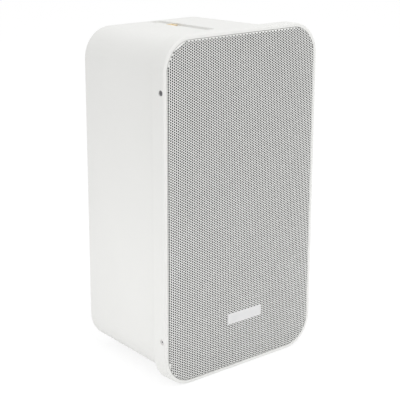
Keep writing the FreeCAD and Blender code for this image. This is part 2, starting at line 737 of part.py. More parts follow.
def make_woofer():
    drop = "-woofer_drop"
    pieces = []

    gasket = make_ring("woofer_gasket", "woofer_gasket_inner", "woofer_radius", "0", FLANGE, drop)
    holes = make_sketch(gasket, "XY_Plane")
    draw_circles(holes, "(driver_screw_width / 2 + hole_clearance)", WOOFER_SPOTS)
    make_pocket(gasket, holes)
    pieces.append(gasket)

    basket = make_body("woofer_basket", "frame_depth", drop, driver=True)
    back = f"({FLANGE} + basket_sheet)"
    shelf_back = f"({SHELF} + basket_sheet)"
    cup_floor = f"({BASKET_END} - basket_sheet)"
    revolve(basket, [("basket_mouth", FLANGE), ("woofer_radius", FLANGE), ("woofer_radius", back),
                     ("(basket_mouth + basket_sheet)", back), ("(basket_neck + basket_sheet)", shelf_back),
                     ("(basket_shelf + basket_sheet)", shelf_back),
                     ("(basket_shelf + basket_sheet)", BASKET_END), ("basket_bore", BASKET_END),
                     ("basket_bore", cup_floor), ("basket_shelf", cup_floor),
                     ("basket_shelf", SHELF), ("basket_neck", SHELF)])
    holes = make_sketch(basket, "XY_Plane")
    draw_circles(holes, "(driver_screw_width / 2 + hole_clearance)", WOOFER_SPOTS)
    make_pocket(basket, holes)
    window = make_sketch(basket, "XY_Plane", SHELF)
    near, far = "(basket_neck + 2 * basket_sheet)", "(basket_mouth - basket_sheet)"
    draw_outline(window, [(near, "-window_half_width"), (far, "-window_half_width"),
                          (far, "window_half_width"), (near, "window_half_width")])
    polar(basket, make_pocket(basket, window), WINDOWS)
    pieces.append(basket)

    bore = f"({COIL_OUTER} + coil_winding + coil_gap)"
    pieces.append(make_ring("woofer_top_plate", bore, "top_plate_radius", BASKET_END,
                            "top_plate_thickness", drop))
    pieces.append(make_ring("woofer_magnet", "magnet_bore", "magnet_radius", MAGNET_START,
                            "magnet_thickness", drop))

    yoke = make_body("woofer_yoke", "frame_depth", drop, driver=True)
    end = f"({MAGNET_END} + yoke_thickness)"
    revolve(yoke, [("0", BASKET_END), ("pole_radius", BASKET_END), ("pole_radius", MAGNET_END),
                   ("top_plate_radius", MAGNET_END), ("top_plate_radius", end), ("0", end)])
    pieces.append(yoke)

    cone = make_body("woofer_cone", "frame_depth", drop, driver=True)
    neck_front = f"({FLANGE} + cone_depth)"
    lip_back = f"({FLANGE} + cone_paper)"
    neck_back = f"({neck_front} + cone_paper)"
    lip_inner = "(cone_radius - cone_lip)"
    revolve(cone, [("cone_neck", neck_front), (lip_inner, FLANGE), ("cone_radius", FLANGE),
                   ("cone_radius", lip_back), (lip_inner, lip_back), ("cone_neck", neck_back)])
    pieces.append(cone)

    cap = make_body("woofer_dust_cap", "frame_depth", drop, driver=True)
    crown = f"({CAP_BASE} - cap_height)"
    under = f"({crown} + cap_wall)"
    inner = "(cap_radius - 2 * cap_wall)"
    revolve(cap, [("0", crown), ("cap_radius", CAP_BASE), (inner, CAP_BASE), ("0", under)],
            {0: cap_bend("cap_radius", crown, "cap_height"),
             2: cap_bend(inner, under, "(cap_height - cap_wall)")})
    pieces.append(cap)

    coil = make_body("woofer_coil", "frame_depth", drop, driver=True)
    start = f"({neck_front} - coil_reach)"
    wind_start = f"({BASKET_END} - coil_overhang)"
    wind_end = f"({MAGNET_START} + coil_overhang)"
    tail = f"({wind_end} + coil_tail)"
    wound = f"({COIL_OUTER} + coil_winding)"
    revolve(coil, [("coil_inner", start), (COIL_OUTER, start), (COIL_OUTER, wind_start), (wound, wind_start),
                   (wound, wind_end), (COIL_OUTER, wind_end), (COIL_OUTER, tail), ("coil_inner", tail)])
    pieces.append(coil)

    surround = make_body("woofer_surround", "frame_depth", drop, driver=True)
    face = f"({FLANGE} - roll_wall)"
    roll_in, roll_out = f"({ROLL_CENTRE} - roll_radius)", f"({ROLL_CENTRE} + roll_radius)"
    under_in, under_out = f"({roll_in} + roll_wall)", f"({roll_out} - roll_wall)"
    rim_in, rim_out = f"({roll_in} - cone_lip)", f"({roll_out} + surround_rim)"
    revolve(surround, [(rim_in, face), (roll_in, face), (roll_out, face), (rim_out, face), (rim_out, FLANGE),
                       (under_out, FLANGE), (under_out, face), (under_in, face), (under_in, FLANGE),
                       (rim_in, FLANGE)],
            {1: (ROLL_CENTRE, f"{face} - roll_radius", "Y", face),
             6: (ROLL_CENTRE, f"{face} - roll_radius + roll_wall", "Y", face)})
    pieces.append(surround)

    spider = make_body("woofer_spider", "frame_depth", drop, driver=True)
    seat = f"({SHELF} - spider_wall)"
    rim = "(basket_neck - spider_wall)"
    start, stop = "(spider_inner + spider_wall * 3)", f"({rim} - spider_rim)"
    steps = 2 * WAVES
    front = [("spider_inner", seat)]
    rear = [("spider_inner", SHELF)]
    for step in range(steps + 1):
        lift = "spider_wave" if step % 2 else "0"
        radius = f"({start} + ({stop} - {start}) * {step} / {steps})"
        front.append((radius, f"({seat} - {lift})"))
        rear.append((radius, f"({SHELF} - {lift})"))
    front.append((rim, seat))
    rear.append((rim, SHELF))
    revolve(spider, front + rear[::-1])
    pieces.append(spider)

    seat = f"(frame_depth + {back})"
    pieces.append(screw_group("woofer_screws", WOOFER_SPOTS, seat, "driver_head_width",
                              "driver_head_thickness", "driver_screw_width", "driver_screw_length",
                              True, drop))
    return pieces


def make_tweeter():
    rise = "tweeter_rise"
    pieces = []

    plate = make_body("tweeter_plate", "frame_depth", rise, driver=True)
    thick = "tweeter_plate_thickness"
    step = "(dome_roll_radius + hole_clearance)"
    revolve(plate, [("tweeter_plate_bore", "0"), ("tweeter_radius", "0"), ("tweeter_radius", thick),
                    ("tweeter_seat", thick), ("tweeter_seat", TWEETER_TOP), (step, TWEETER_TOP),
                    (step, thick), ("tweeter_plate_bore", thick)])
    holes = make_sketch(plate, "XY_Plane")
    draw_circles(holes, "(driver_screw_width / 2 + hole_clearance)", TWEETER_SPOTS)
    make_pocket(plate, holes)
    pieces.append(plate)

    dome = make_body("tweeter_dome", "frame_depth", rise, driver=True)
    crown = "(dome_base - dome_height)"
    under = f"({crown} + dome_wall)"
    inner = "(dome_radius - dome_wall)"
    tail = "(dome_base + dome_coil_length)"
    revolve(dome, [("0", crown), ("dome_radius", "dome_base"), ("dome_radius", tail), (inner, tail),
                   (inner, "dome_base"), ("0", under)],
            {0: cap_bend("dome_radius", crown, "dome_height"),
             4: cap_bend(inner, under, "(dome_height - dome_wall)")})
    pieces.append(dome)

    roll = "(dome_radius + dome_gap)"
    pieces.append(make_ring("tweeter_surround", roll, "dome_roll_radius", thick, "dome_roll_wall", rise))
    pieces.append(make_ring("tweeter_top_plate", roll, "tweeter_motor_radius", TWEETER_TOP,
                            "tweeter_top_thickness", rise))
    pieces.append(make_ring("tweeter_magnet", "tweeter_magnet_bore", "tweeter_motor_radius", TWEETER_MAGNET,
                            "tweeter_magnet_thickness", rise))

    yoke = make_body("tweeter_yoke", "frame_depth", rise, driver=True)
    pole = f"({inner} - dome_gap)"
    end = f"({TWEETER_YOKE} + tweeter_yoke_thickness)"
    revolve(yoke, [("0", TWEETER_TOP), (pole, TWEETER_TOP), (pole, TWEETER_YOKE),
                   ("tweeter_motor_radius", TWEETER_YOKE), ("tweeter_motor_radius", end), ("0", end)])
    pieces.append(yoke)

    seat = f"(frame_depth + {thick})"
    pieces.append(screw_group("tweeter_screws", TWEETER_SPOTS, seat, "driver_head_width",
                              "driver_head_thickness", "driver_screw_width", "driver_screw_length",
                              True, rise))
    return pieces


def make_crossover():
    """The board on its standoffs, with the capacitor, the inductor and the resistor on its front."""
    pieces = []
    rise = "board_rise"
    board = make_body("crossover_board", rise=rise)
    sheet_sketch = front_sketch(board, BOARD_FRONT)
    draw_rectangle(sheet_sketch, "board_width", "board_height")
    make_pad(board, sheet_sketch, "board_thickness")
    add_holes(board, BOARD_SPOTS, "(board_screw_width + hole_clearance)", "0")
    pieces.append(board)

    inductor = make_body("crossover_inductor", rise=rise)
    shift = "-(inductor_width / 2 + part_gap)"
    ring = front_sketch(inductor, BOARD_FRONT, shift)
    draw_circles(ring, "inductor_width / 2", [("0", "0")])
    make_pad(inductor, ring, "inductor_height", reverse=False)
    bore = front_sketch(inductor, BOARD_FRONT, shift)
    draw_circles(bore, "inductor_bore / 2", [("0", "0")])
    make_pocket(inductor, bore, "inductor_height", reverse=True)
    pieces.append(inductor)

    capacitor = make_body("crossover_capacitor", rise=rise)
    can = make_sketch(capacitor, "YZ_Plane", "part_gap", f"{BOARD_FRONT} - capacitor_width / 2",
                      "(capacitor_width / 2 + part_gap / 2)")
    draw_circles(can, "capacitor_width / 2", [("0", "0")])
    make_pad(capacitor, can, "capacitor_length", reverse=False)
    pieces.append(capacitor)

    resistor = make_body("crossover_resistor", rise=rise)
    block = front_sketch(resistor, BOARD_FRONT, "(resistor_length / 2 + part_gap)",
                         "-(resistor_width / 2 + part_gap / 2)")
    draw_rectangle(block, "resistor_length", "resistor_width")
    make_pad(resistor, block, "resistor_width", reverse=False)
    pieces.append(resistor)

    pieces.append(screw_group("board_screws", BOARD_SPOTS, BOARD_FRONT, "board_head_width",
                              "board_head_thickness", "board_screw_width", "board_screw_length",
                              False, rise))
    return pieces


def make_terminals():
    pieces = []
    drop = "-terminal_drop"
    cup = make_body("terminal_cup", rise=drop)
    rim = front_sketch(cup, "cabinet_depth")
    draw_rectangle(rim, "(terminal_width + 2 * terminal_rim)", "(terminal_height + 2 * terminal_rim)")
    make_pad(cup, rim, "terminal_rim_thickness")
    width, height = "(terminal_width - 2 * terminal_clearance)", "(terminal_height - 2 * terminal_clearance)"
    block = front_sketch(cup, "cabinet_depth")
    draw_rectangle(block, width, height)
    make_pad(cup, block, "terminal_cup_depth", reverse=False)
    well = front_sketch(cup, TERMINAL_BACK)
    draw_rectangle(well, f"({width} - 2 * terminal_wall)", f"({height} - 2 * terminal_wall)")
    make_pocket(cup, well, "(terminal_cup_depth + terminal_rim_thickness - terminal_wall)", reverse=True)
    add_holes(cup, POST_SPOTS, "(post_width + 2 * hole_clearance)", "0")
    add_holes(cup, TERMINAL_SPOTS, "(terminal_screw_width + 2 * hole_clearance)", "0")
    pieces.append(cup)
    seat = f"({CUP_FLOOR} + terminal_wall)"
    pieces.append(screw_group("terminal_posts", POST_SPOTS, seat, "post_head_width", "post_head_length",
                              "post_width", "(terminal_wall + post_tail)", True, drop))
    pieces.append(screw_group("terminal_screws", TERMINAL_SPOTS, TERMINAL_BACK, "terminal_head_width",
                              "terminal_head_thickness", "terminal_screw_width", "terminal_screw_length",
                              True, drop))
    return pieces


def make_damping_pad():
    body = make_body("damping_pad", rise="pad_rise")
    block = front_sketch(body, f"({CABINET_FLOOR} - pad_thickness)")
    draw_rectangle(block, "pad_width", "pad_height")
    make_pad(body, block, "pad_thickness")
    return body


pieces = [
    make_front_frame(),
    make_grille(),
    make_grille_cloth(),
    make_badge_plate(),
    make_side_screws(),
    make_rear_cabinet(),
    make_cabinet_gasket(),
    screw_group("cabinet_screws", CABINET_SPOTS, BAFFLE_FRONT, "cabinet_head_width", "cabinet_head_thickness",
                "cabinet_screw_width", "cabinet_screw_length"),
    make_insert("upper_insert", "1"),
    make_insert("lower_insert", "-1"),
    make_damping_pad(),
]
pieces += make_woofer()
pieces += make_tweeter()
pieces += make_crossover()
pieces += make_terminals()

doc.recompute()
for part in doc.Objects:
    if "Invalid" in part.State or "Error" in part.State:
        raise RuntimeError(f"{part.Label} failed: {part.State}")
for piece in pieces:
    if piece.Shape.isNull() or not piece.Shape.isValid():
        raise RuntimeError(f"{piece.Label} has no valid shape")
os.makedirs("parts", exist_ok=True)
for piece in pieces:
    piece.Shape.exportStep(f"parts/{piece.Label}.step")
    print(piece.Label, len(piece.Shape.Solids), round(piece.Shape.Volume, 1))
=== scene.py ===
import bpy, bmesh, math
import numpy as np
from mathutils import Matrix, Vector
from mathutils.geometry import delaunay_2d_cdt


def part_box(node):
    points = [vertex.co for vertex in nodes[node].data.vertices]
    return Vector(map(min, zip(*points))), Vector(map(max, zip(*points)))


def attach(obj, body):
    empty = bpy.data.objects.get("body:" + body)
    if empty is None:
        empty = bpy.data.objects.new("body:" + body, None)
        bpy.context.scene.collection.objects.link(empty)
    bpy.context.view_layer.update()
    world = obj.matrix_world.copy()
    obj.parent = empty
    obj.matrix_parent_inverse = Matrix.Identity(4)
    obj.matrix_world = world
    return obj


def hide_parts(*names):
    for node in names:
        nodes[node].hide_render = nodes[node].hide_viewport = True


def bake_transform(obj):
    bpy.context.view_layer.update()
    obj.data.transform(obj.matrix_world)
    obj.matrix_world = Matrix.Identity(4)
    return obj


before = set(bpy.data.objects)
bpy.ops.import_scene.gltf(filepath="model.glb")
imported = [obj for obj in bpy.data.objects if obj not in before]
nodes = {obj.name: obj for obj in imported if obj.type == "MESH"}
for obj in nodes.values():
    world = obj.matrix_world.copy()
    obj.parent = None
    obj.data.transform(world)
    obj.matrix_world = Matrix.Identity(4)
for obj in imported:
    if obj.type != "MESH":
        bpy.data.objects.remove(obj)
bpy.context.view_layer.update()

mm = 0.001
tiny = 1e-9
scene = bpy.context.scene


# small helpers

def addPiece(name, verts, faces, body, mats, faceMats=None, smooth=False, stands=()):
    mesh = bpy.data.meshes.new(name)
    mesh.from_pydata([tuple(v) for v in verts], [], faces)
    mesh.validate()
    for m in mats:
        mesh.materials.append(m)
    if faceMats is not None:
        mesh.polygons.foreach_set("material_index", faceMats)
    mesh.polygons.foreach_set("use_smooth", [smooth] * len(mesh.polygons))
    mesh.update()
    obj = bpy.data.objects.new(name, mesh)
    scene.collection.objects.link(obj)
    if body:
        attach(obj, body)
    if stands:
        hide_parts(*stands)
    return obj


def sharpen(obj, angle=35):  # outward normals, smooth shading with crisp edges past this angle
    bm = bmesh.new()
    bm.from_mesh(obj.data)
    bmesh.ops.recalc_face_normals(bm, faces=bm.faces)
    for e in bm.edges:
        e.smooth = len(e.link_faces) == 2 and e.calc_face_angle(0) < math.radians(angle)
    for f in bm.faces:
        f.smooth = True
    bm.to_mesh(obj.data)
    bm.free()


def polarRows(rows, angles, closed=False):  # rows of (reach at each angle, height); reach 0 is the axis
    verts, rings = [], []
    count = len(angles)
    for reach, z in rows:
        if max(reach) < tiny:
            rings.append([len(verts)] * count)
            verts.append((0, 0, z))
        else:
            rings.append(list(range(len(verts), len(verts) + count)))
            verts += [(r * math.cos(t), r * math.sin(t), z) for r, t in zip(reach, angles)]
    if closed:
        rings.append(rings[0])
    faces = []
    for a, b in zip(rings, rings[1:]):
        for k in range(count):
            n = (k + 1) % count
            ring = [a[k], a[n], b[n], b[k]]
            faces.append([v for i, v in enumerate(ring) if v not in ring[:i]])
    return verts, faces


def lathe(profile, steps=48, closed=False):  # (radius, height) or (radius, height, flute depth) about z
    angles = [2 * math.pi * k / steps for k in range(steps)]
    rows = []
    for r, z, *flute in profile:
        cut = flute[0] if flute else 0
        rows.append(([r - cut if k % 4 < 2 else r for k in range(steps)], z))  # two steps cut, two left
    return polarRows(rows, angles, closed)


crossHead = dict(arm=0.56, slot=0.15, side=0.5, shoulder=(0.93, 0.82), crown=0.74, taper=0.72, centre=1.15,
                 tip=0.5, bands=9, recessBands=2)  # shares of the head's size, the tip in mm


def crossScrew(radius, height, deep, shank, length):  # a pan head with a cross recess, z up, its seat at 0
    arm, half = crossHead["arm"] * radius, crossHead["slot"] * radius
    lean = math.degrees(math.atan2(half, arm))
    quarter = [0, lean, (lean + 45) / 2, 45, (135 - lean) / 2, 90 - lean]
    angles = [math.radians(90 * q + a) for q in range(4) for a in quarter]
    cross = []
    for t in angles:
        c, s = abs(math.cos(t)) + tiny, abs(math.sin(t)) + tiny
        cross.append(max(min(arm / c, half / s), min(arm / s, half / c)))

    def ring(r):
        return [r] * len(angles)

    wide, up = crossHead["shoulder"]
    rows = [(ring(0), -length), (ring(shank), crossHead["tip"] - length), (ring(shank), 0),
            (ring(radius), 0), (ring(radius), crossHead["side"] * height),
            (ring(wide * radius), up * height), (ring(crossHead["crown"] * radius), height), (cross, height),
            ([crossHead["taper"] * c for c in cross], height - deep),
            (ring(0), height - crossHead["centre"] * deep)]
    return polarRows(rows, angles)


def placed(verts, origin, axis, turn=0.0):  # z-up vertices, turned about z, then set along axis at origin
    way = Vector((0, 0, 1)).rotation_difference(Vector(axis)).to_matrix()
    way = way @ Matrix.Rotation(math.radians(turn), 3, "Z")
    return [(Vector(origin) + way @ Vector(v)) * mm for v in verts]


def joined(parts):  # several (verts, faces) as one
    verts, faces = [], []
    for v, f in parts:
        base = len(verts)
        verts += list(v)
        faces += [[i + base for i in face] for face in f]
    return verts, faces


def cornerLoop(halfX, halfZ, corner, steps):  # a rounded rectangle, with one point count at every size
    loop = []
    for turn, (sx, sz) in enumerate([(1, 1), (-1, 1), (-1, -1), (1, -1)]):
        for k in range(steps + 1):
            t = math.radians(90 * (turn + k / steps))
            loop.append((sx * (halfX - corner) + corner * math.cos(t),
                         sz * (halfZ - corner) + corner * math.sin(t)))
    return loop


def skin(loops, closed=False):  # quads between loops of one point count
    n = len(loops[0])
    verts = [v for loop in loops for v in loop]
    pairs = list(zip(range(len(loops)), range(1, len(loops))))
    if closed:
        pairs.append((len(loops) - 1, 0))
    faces = [[a * n + k, a * n + (k + 1) % n, b * n + (k + 1) % n, b * n + k]
             for a, b in pairs for k in range(n)]
    return verts, faces


def capped(loops):  # a skin with its first and last loop closed
    verts, faces = skin(loops)
    n = len(loops[0])
    return verts, faces + [list(range(n)), list(range(len(verts) - n, len(verts)))]


def gridQuads(nx, nz):  # the cells of a grid, row by row
    n = nx + 1
    return [[r * n + c, r * n + c + 1, (r + 1) * n + c + 1, (r + 1) * n + c]
            for r in range(nz) for c in range(nx)]


def turnedOver(faces, total):  # the same faces on the far side, whose vertices come total later
    return [[v + total for v in reversed(f)] for f in faces]


def boxOf(name):  # a CAD node's box in mm
    low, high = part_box(name)
    return Vector(low) / mm, Vector(high) / mm


# finishes: each is one dictionary, and finishOf builds its nodes

finishes = {
    "whitePlastic": dict(colour=(0.83, 0.83, 0.812), shade=(0.80, 0.80, 0.782), rough=(0.42, 0.56),
                         mottle=9, grain=2600, bump=0.05, pattern="grain"),
    "whiteCoat": dict(colour=(0.84, 0.843, 0.825), shade=(0.80, 0.803, 0.785), rough=(0.38, 0.52),
                      mottle=30, grain=3600, bump=0.08, pattern="grain"),
    # dark grey for the hole walls: painted shade inside the holes
    "holeWallPaintedShade": dict(colour=(0.20, 0.20, 0.195), shade=(0.13, 0.13, 0.127), rough=(0.6, 0.75),
                     mottle=200, grain=3000, bump=0.05, pattern="grain"),
    "blackCloth": dict(colour=(0.016, 0.016, 0.017), shade=(0.006, 0.006, 0.006), rough=(0.85, 0.95),
                       mottle=40, grain=1500, bump=0.5, pattern="weave"),
    "badgeMetal": dict(colour=(0.75, 0.75, 0.75), shade=(0.68, 0.68, 0.685), rough=(0.3, 0.42),
                       mottle=60, grain=3000, bump=0.06, pattern="brushed", metal=0.35),
    "zincScrew": dict(colour=(0.55, 0.55, 0.56), shade=(0.38, 0.38, 0.40), rough=(0.28, 0.45),
                      mottle=300, grain=3000, bump=0.1, pattern="grain", metal=1.0),
    # pale copy of the one screw finish: painted reflection of the bright floor on the lower screws
    "screwPaintedReflection": dict(colour=(0.80, 0.79, 0.78), shade=(0.66, 0.65, 0.65), rough=(0.35, 0.5),
                      mottle=300, grain=3000, bump=0.1, pattern="grain", metal=0.4),
    # dark copy of the one screw finish: painted shade, for the upper screw heads and the cross recesses
    "screwPaintedShade": dict(colour=(0.26, 0.26, 0.27), shade=(0.15, 0.15, 0.16), rough=(0.34, 0.5),
                      mottle=300, grain=3000, bump=0.1, pattern="grain", metal=1.0),
    "brass": dict(colour=(0.76, 0.61, 0.38), shade=(0.58, 0.45, 0.26), rough=(0.2, 0.36),
                  mottle=240, grain=2400, bump=0.08, pattern="turned", metal=1.0),
    "platedSteel": dict(colour=(0.66, 0.66, 0.63), shade=(0.5, 0.5, 0.46), rough=(0.3, 0.48),
                        mottle=70, grain=1400, bump=0.1, pattern="turned", metal=1.0),
    "blackFoam": dict(colour=(0.045, 0.045, 0.047), shade=(0.02, 0.02, 0.02), rough=(0.9, 1.0),
                      mottle=200, grain=900, bump=0.8, pattern="cells"),
    "padFibre": dict(colour=(0.84, 0.84, 0.82), shade=(0.66, 0.66, 0.63), rough=(0.9, 1.0),
                     mottle=45, grain=420, bump=0.9, pattern="fibre"),
    "blackEnamel": dict(colour=(0.035, 0.035, 0.036), shade=(0.02, 0.02, 0.02), rough=(0.35, 0.5),
                        mottle=60, grain=1200, bump=0.15, pattern="grain"),
    "ferrite": dict(colour=(0.075, 0.072, 0.07), shade=(0.04, 0.038, 0.037), rough=(0.6, 0.8),
                    mottle=110, grain=900, bump=0.25, pattern="grain"),
    "conePaper": dict(colour=(0.055, 0.053, 0.05), shade=(0.028, 0.027, 0.026), rough=(0.75, 0.92),
                      mottle=90, grain=600, bump=0.5, pattern="fibre"),
    "coilFoil": dict(colour=(0.62, 0.4, 0.22), shade=(0.45, 0.26, 0.12), rough=(0.3, 0.45),
                     mottle=200, grain=2600, bump=0.4, pattern="wound", metal=1.0),
    "rubber": dict(colour=(0.028, 0.028, 0.03), shade=(0.016, 0.016, 0.017), rough=(0.55, 0.72),
                   mottle=80, grain=1600, bump=0.15, pattern="grain"),
    "spiderCotton": dict(colour=(0.62, 0.42, 0.14), shade=(0.42, 0.26, 0.07), rough=(0.8, 0.92),
                         mottle=90, grain=700, bump=0.6, pattern="weave"),
    "blackPlastic": dict(colour=(0.035, 0.035, 0.036), shade=(0.022, 0.022, 0.023), rough=(0.45, 0.62),
                         mottle=50, grain=1100, bump=0.25, pattern="grain"),
    "domeSilk": dict(colour=(0.06, 0.06, 0.068), shade=(0.03, 0.03, 0.034), rough=(0.45, 0.65),
                     mottle=150, grain=1800, bump=0.4, pattern="weave"),
    "laminate": dict(colour=(0.42, 0.29, 0.12), shade=(0.31, 0.2, 0.075), rough=(0.5, 0.66),
                     mottle=70, grain=800, bump=0.2, pattern="fibre"),
    "copperWire": dict(colour=(0.72, 0.33, 0.15), shade=(0.45, 0.18, 0.07), rough=(0.22, 0.36),
                       mottle=160, grain=1250, bump=0.9, pattern="wound", metal=1.0),
    "blueSleeve": dict(colour=(0.03, 0.05, 0.19), shade=(0.02, 0.03, 0.12), rough=(0.25, 0.38),
                       mottle=80, grain=1200, bump=0.08, pattern="grain"),
    "ceramic": dict(colour=(0.82, 0.8, 0.74), shade=(0.7, 0.68, 0.62), rough=(0.6, 0.78),
                    mottle=120, grain=900, bump=0.3, pattern="grain"),
    "redKnob": dict(colour=(0.5, 0.02, 0.018), shade=(0.38, 0.013, 0.012), rough=(0.3, 0.45),
                    mottle=120, grain=1600, bump=0.12, pattern="grain"),
}
longGrain = {"brushed": (0.04, 1, 1), "turned": (1, 1, 0.05), "fibre": (0.25, 1, 0.4)}
mixing = dict(ramp=(0.3, 0.68), cloudShare=0.75, grainShare=0.25, roughFrom=(0.3, 0.7), bumpDepth=0.00025)
made = {}


def finishOf(name):
    if name in made:
        return made[name]
    look = finishes[name]
    mat = bpy.data.materials.new(name)
    mat.use_nodes = True
    nt = mat.node_tree
    link = nt.links.new
    shader = nt.nodes["Principled BSDF"]
    shader.inputs["Metallic"].default_value = look.get("metal", 0.0)

    def node(kind, **values):
        n = nt.nodes.new(kind)
        for key, value in values.items():
            n.inputs[key.replace("_", " ")].default_value = value
        return n

    place = nt.nodes.new("ShaderNodeTexCoord").outputs["Object"]
    cloud = node("ShaderNodeTexNoise", Scale=look["mottle"], Detail=4.0, Roughness=0.6)  # slow colour drift
    link(place, cloud.inputs["Vector"])
    ramp = nt.nodes.new("ShaderNodeValToRGB")
    for stop, at, tone in zip(ramp.color_ramp.elements, mixing["ramp"], ("shade", "colour")):
        stop.position = at
        stop.color = (*look[tone], 1)

    def wave(direction, scale):
        w = node("ShaderNodeTexWave", Scale=scale, Distortion=0.4, Detail=1.0)
        w.bands_direction = direction
        link(place, w.inputs["Vector"])
        return w.outputs["Fac"]

    def maths(operation, a, b):
        m = nt.nodes.new("ShaderNodeMath")
        m.operation = operation
        link(a, m.inputs[0])
        if isinstance(b, float):
            m.inputs[1].default_value = b
        else:
            link(b, m.inputs[1])
        return m.outputs[0]

    fine = node("ShaderNodeTexNoise", Scale=look["grain"], Detail=3.0, Roughness=0.55)
    link(place, fine.inputs["Vector"])
    height = fine.outputs["Fac"]
    pattern = look["pattern"]
    if pattern == "weave":
        height = maths("MAXIMUM", wave("X", look["grain"]), wave("Z", look["grain"]))
    elif pattern == "wound":
        height = wave("Z" if name == "coilFoil" else "DIAGONAL", look["grain"] / 3)
    elif pattern in longGrain:
        squeeze = nt.nodes.new("ShaderNodeMapping")  # long thin grain along one way
        squeeze.inputs["Scale"].default_value = longGrain[pattern]
        link(place, squeeze.inputs["Vector"])
        link(squeeze.outputs["Vector"], fine.inputs["Vector"])
    elif pattern == "cells":
        cells = node("ShaderNodeTexVoronoi", Scale=look["grain"])
        link(place, cells.inputs["Vector"])
        height = cells.outputs["Distance"]
    drift = maths("ADD", maths("MULTIPLY", cloud.outputs["Fac"], mixing["cloudShare"]),
                  maths("MULTIPLY", height, mixing["grainShare"]))
    link(drift, ramp.inputs["Fac"])
    link(ramp.outputs["Color"], shader.inputs["Base Color"])
    low, high = mixing["roughFrom"]
    spread = node("ShaderNodeMapRange", From_Min=low, From_Max=high,
                  To_Min=look["rough"][0], To_Max=look["rough"][1])
    link(drift, spread.inputs["Value"])
    link(spread.outputs["Result"], shader.inputs["Roughness"])
    relief = node("ShaderNodeBump", Strength=look["bump"], Distance=mixing["bumpDepth"])
    link(height, relief.inputs["Height"])
    link(relief.outputs["Normal"], shader.inputs["Normal"])
    made[name] = mat
    return mat


# camera, from the photograph's own perspective

shot = dict(lens=107.26, sensor=36, place=(-0.6300, -0.7309, 0.4033), azimuth=41.052, drop=15.803,
            roll=0.118)

camData = bpy.data.cameras.new("shotCamera")
camData.lens = shot["lens"]
camData.sensor_width = shot["sensor"]
camera = bpy.data.objects.new("shotCamera", camData)
az, el = math.radians(shot["azimuth"]), math.radians(shot["drop"])
ahead = Vector((math.sin(az) * math.cos(el), math.cos(az) * math.cos(el), -math.sin(el)))
aim = ahead.to_track_quat("-Z", "Y").to_matrix().to_4x4()
tilt = Matrix.Rotation(math.radians(shot["roll"]), 4, "Z")
camera.matrix_world = Matrix.Translation(shot["place"]) @ aim @ tilt
scene.collection.objects.link(camera)
scene.camera = camera
print("camera set")


# perforated grille: a bowed sheet pan, with a staggered field of holes that runs on round its rolled edge

pan = dict(pitch=2.0, hole=1.45, sheet=0.50, roll=1.2, corner=23.1, bow=0.3, crown=-1.25, holesOnRoll=0.95,
           edgeAt=1.78, outlineStep=1.6, startX=0.1, startZ=-0.25, stretch=0.8, stretchPower=8,
           columns=60, rows=80, seam=0.01, snap=1e-7)
bakeMap = dict(left=0.01, wide=0.48, back=0.5, low=0.02, tall=0.96)

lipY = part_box("front_frame")[0].y / mm  # the frame's front lip
panLow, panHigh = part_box("grille")
panWide, panTall = (panHigh.x - panLow.x) / mm, (panHigh.z - panLow.z) / mm
panMid = (panHigh.z + panLow.z) / 2 / mm
panBack = panHigh.y / mm
flatX, flatZ = panWide / 2 - pan["roll"], panTall / 2 - pan["roll"]
flatCorner = pan["corner"] - pan["roll"]
rollArc = pan["roll"] * math.pi / 2
bowRadius = panWide ** 2 / 8 / pan["bow"] + pan["bow"] / 2


def edgeDistance(p):  # how far outside the flat points of the unrolled sheet lie, and which way is out
    q = np.abs(p) - np.array([flatX - flatCorner, flatZ - flatCorner])
    reach = np.linalg.norm(np.maximum(q, 0), axis=1)
    away = reach + np.minimum(q.max(1), 0) - flatCorner
    out = np.where((q > 0).all(1)[:, None], np.maximum(q, 0) / np.maximum(reach, tiny)[:, None],
                   np.stack([q[:, 0] >= q[:, 1], q[:, 1] > q[:, 0]], 1).astype(float))
    return away, out * np.where(p < 0, -1, 1)


def bowAt(x):  # the bowed face, mm behind the lip
    return pan["crown"] + x ** 2 / 2 / bowRadius


def rollSheet(p, depth):  # unrolled sheet, mm, to its place in the frame, depth mm behind its face
    away, out = edgeDistance(p)
    over = np.maximum(away, 0)
    foot = p - out * over[:, None]
    r = pan["roll"]
    turn = np.minimum(over / r, math.pi / 2)
    past = np.maximum(over - rollArc, 0)
    side = foot + out * ((r - depth) * np.sin(turn))[:, None]
    back = bowAt(foot[:, 0]) + r - (r - depth) * np.cos(turn) + past
    return np.stack([side[:, 0], lipY + back, panMid + side[:, 1]], 1) * mm


def outlineAt(away):  # a closed loop of the unrolled sheet, this far outside the flat
    loop = []
    radius = flatCorner + away
    steps = int(radius * math.pi / 2 / pan["outlineStep"])
    for sx, sz, start in [(1, 1, 0), (-1, 1, 90), (-1, -1, 180), (1, -1, 270)]:
        cx, cz = sx * (flatX - flatCorner), sz * (flatZ - flatCorner)
        angles = [math.radians(start + 90 * k / steps) for k in range(steps + 1)]
        loop += [(cx + radius * math.cos(t), cz + radius * math.sin(t)) for t in angles]
        lastX, lastZ = loop[-1]
        wayX, wayZ = [(-1, 0), (0, -1), (1, 0), (0, 1)][start // 90]
        run = 2 * ((flatX if start in (0, 180) else flatZ) - flatCorner)
        count = int(run / pan["outlineStep"])
        loop += [(lastX + wayX * run * k / count, lastZ + wayZ * run * k / count) for k in range(1, count)]
    return np.array(loop)


def pushedOut(loop, away):  # the same loop at another distance
    now, out = edgeDistance(loop)
    return loop + out * (away - now)[:, None]


def halfOf(*xs):  # 0 for the right half and -1 for the left, like the number of a column
    return 0 if min(xs) >= -pan["seam"] else -1


